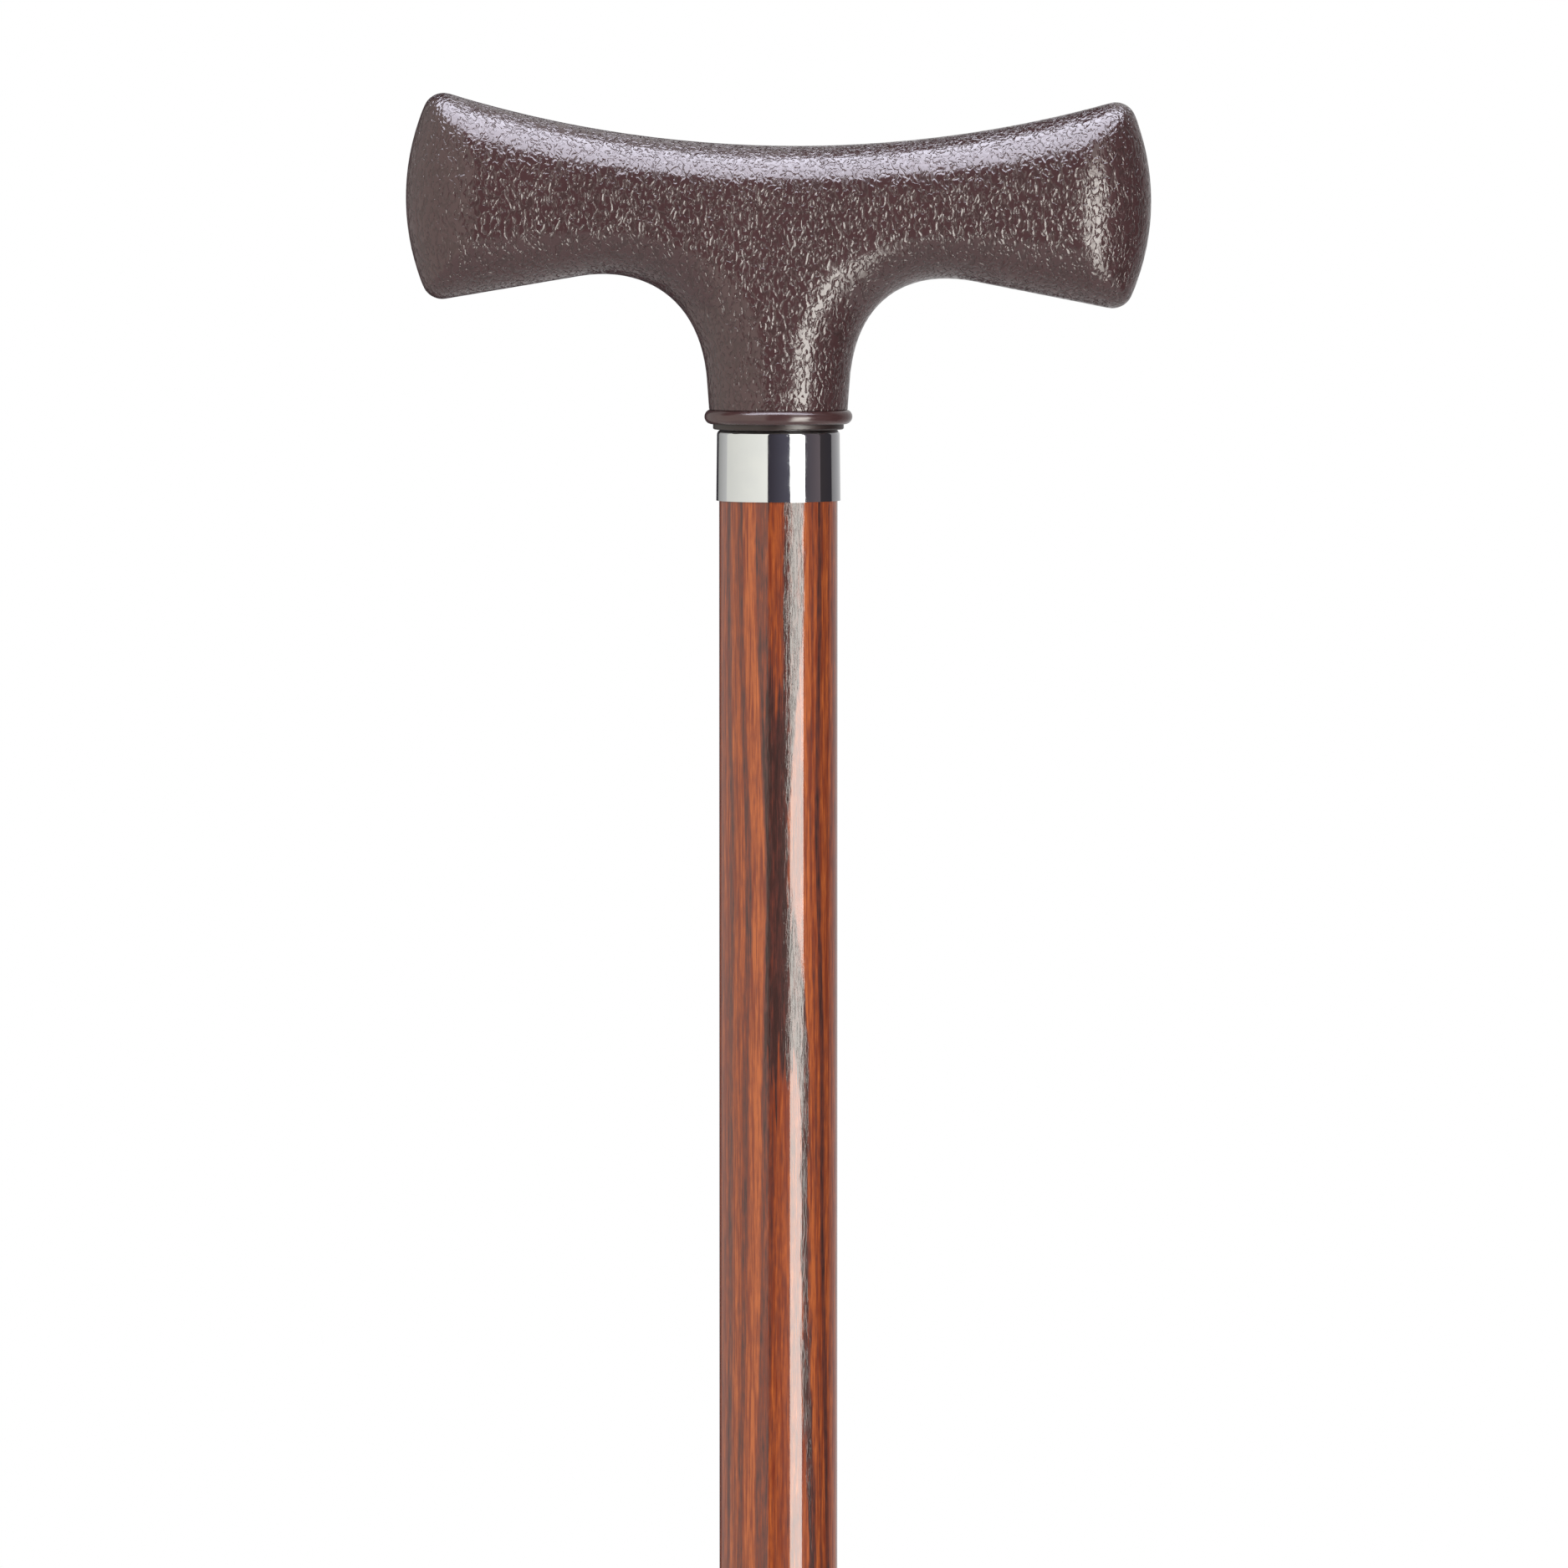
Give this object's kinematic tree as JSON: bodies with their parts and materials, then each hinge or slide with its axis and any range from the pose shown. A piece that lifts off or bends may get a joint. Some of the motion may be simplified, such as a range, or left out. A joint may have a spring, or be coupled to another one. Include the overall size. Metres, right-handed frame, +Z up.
{
  "type": "t-handle walking cane",
  "caption": "One-piece walking cane: T handle with a grained soft skin, bead ring and polished band on a round striped hardwood shaft, with a push-on rubber tip.",
  "frame": {"origin": "centre of the rubber tip's tread, on the surface that the cane stands on", "axes": "+Z up the shaft towards the handle, +X along the handle's arms towards its slightly lower end, front faces -Y"},
  "size_m": [0.1257, 0.038, 0.8999],
  "materials": {
    "grip_elastomer": "leather-grained semi-gloss elastomer",
    "core_nylon": "smooth gloss",
    "insert_brass": "turned",
    "stud_steel": "zinc plated",
    "band_chrome": "polished",
    "shaft_hardwood": "stained and lacquered, gloss",
    "tip_rubber": "moulded, matt",
    "washer_steel": "stamped"
  },
  "bodies": {
    "cane": {"grip_skin": "grip_elastomer", "handle_core": "core_nylon", "insert_nut": "insert_brass", "joining_stud": "stud_steel", "collar_band": "band_chrome", "shaft": "shaft_hardwood"},
    "tip": {"rubber_tip": "tip_rubber", "tip_washer": "washer_steel"}
  },
  "joints": [
    {"name": "tip_pull", "type": "slide", "parent": "cane", "child": "tip", "axis": [0, 0, -1], "range_m": [0, 0.045]}
  ]
}
